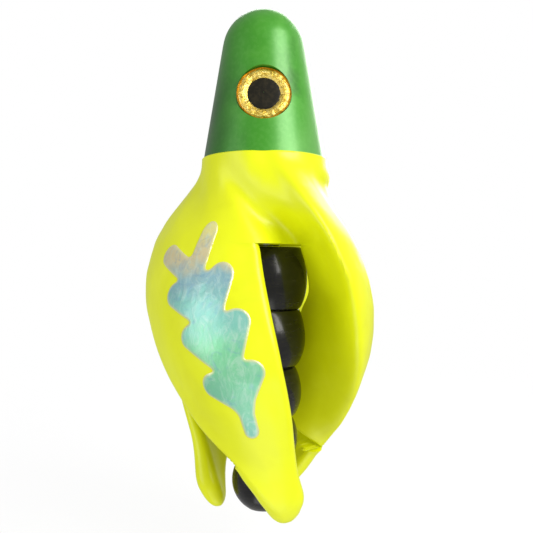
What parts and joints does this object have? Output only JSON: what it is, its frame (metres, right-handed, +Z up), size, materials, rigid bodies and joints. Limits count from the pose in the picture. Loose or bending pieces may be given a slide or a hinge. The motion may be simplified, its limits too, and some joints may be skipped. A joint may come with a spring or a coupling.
{
  "type": "spinning soft lure",
  "caption": "Spinning soft lure: bullet head with foil eyes and a skirt of twisted vanes that turns on a tube strung with glossy beads.",
  "frame": {"origin": "centre of the line hole's mouth, on the flat nose flange of the tube", "axes": "+Z up along the tube towards the nose, -Y towards the front eye and the sticker, +X to the right seen from the front"},
  "size_m": [0.0405, 0.0391, 0.0891],
  "materials": {
    "steel": "polished",
    "bronze": "satin",
    "black_plastic": "gloss",
    "green_plastic": "satin",
    "yellow_vinyl": "satin",
    "gold_foil": "foil",
    "pupil_black": "satin",
    "pearl_foil": "pearl"
  },
  "bodies": {
    "shaft": {"shaft_tube": "steel", "thrust_washer": "bronze", "stop_ring": "steel", "tail_bead": "black_plastic", "tail_ferrule": "steel"},
    "rotor": {"head": "green_plastic", "front_bush": "bronze", "rear_bush": "bronze", "eye_iris_front": "gold_foil", "eye_iris_back": "gold_foil", "eye_pupil_front": "pupil_black", "eye_pupil_back": "pupil_black", "collar": "yellow_vinyl"},
    "petal_a": {"petal_a": "yellow_vinyl", "sticker": "pearl_foil"},
    "petal_b": {"petal_b": "yellow_vinyl"},
    "petal_c": {"petal_c": "yellow_vinyl"},
    "bead_1": {"bead_1": "black_plastic"},
    "bead_2": {"bead_2": "black_plastic"},
    "bead_3": {"bead_3": "black_plastic"},
    "bead_4": {"bead_4": "black_plastic"}
  },
  "joints": [
    {"name": "rotor_spin", "type": "hinge", "parent": "shaft", "child": "rotor", "pos_m": [0, 0, -0.02], "axis": [0, 0, 1], "continuous": true},
    {"name": "petal_a_flex", "type": "hinge", "parent": "rotor", "child": "petal_a", "pos_m": [-0.01272, -0.01067, -0.0422], "axis": [-0.6428, 0.766, 0], "range_deg": [0, 20], "stiffness_Nm_per_rad": 0.02},
    {"name": "petal_b_flex", "type": "hinge", "parent": "rotor", "child": "petal_b", "pos_m": [0.01635, -0.00288, -0.0422], "axis": [-0.1736, -0.9848, 0], "range_deg": [0, 20], "stiffness_Nm_per_rad": 0.02},
    {"name": "petal_c_flex", "type": "hinge", "parent": "rotor", "child": "petal_c", "pos_m": [-0.00058, 0.01659, -0.0422], "axis": [0.9994, 0.0349, 0], "range_deg": [0, 20], "stiffness_Nm_per_rad": 0.02},
    {"name": "bead_1_spin", "type": "hinge", "parent": "shaft", "child": "bead_1", "pos_m": [0, 0, -0.0478], "axis": [0, 0, 1], "continuous": true},
    {"name": "bead_2_spin", "type": "hinge", "parent": "shaft", "child": "bead_2", "pos_m": [0, 0, -0.0585], "axis": [0, 0, 1], "continuous": true},
    {"name": "bead_3_spin", "type": "hinge", "parent": "shaft", "child": "bead_3", "pos_m": [0, 0, -0.0682], "axis": [0, 0, 1], "continuous": true},
    {"name": "bead_4_spin", "type": "hinge", "parent": "shaft", "child": "bead_4", "pos_m": [0, 0, -0.0764], "axis": [0, 0, 1], "continuous": true}
  ]
}
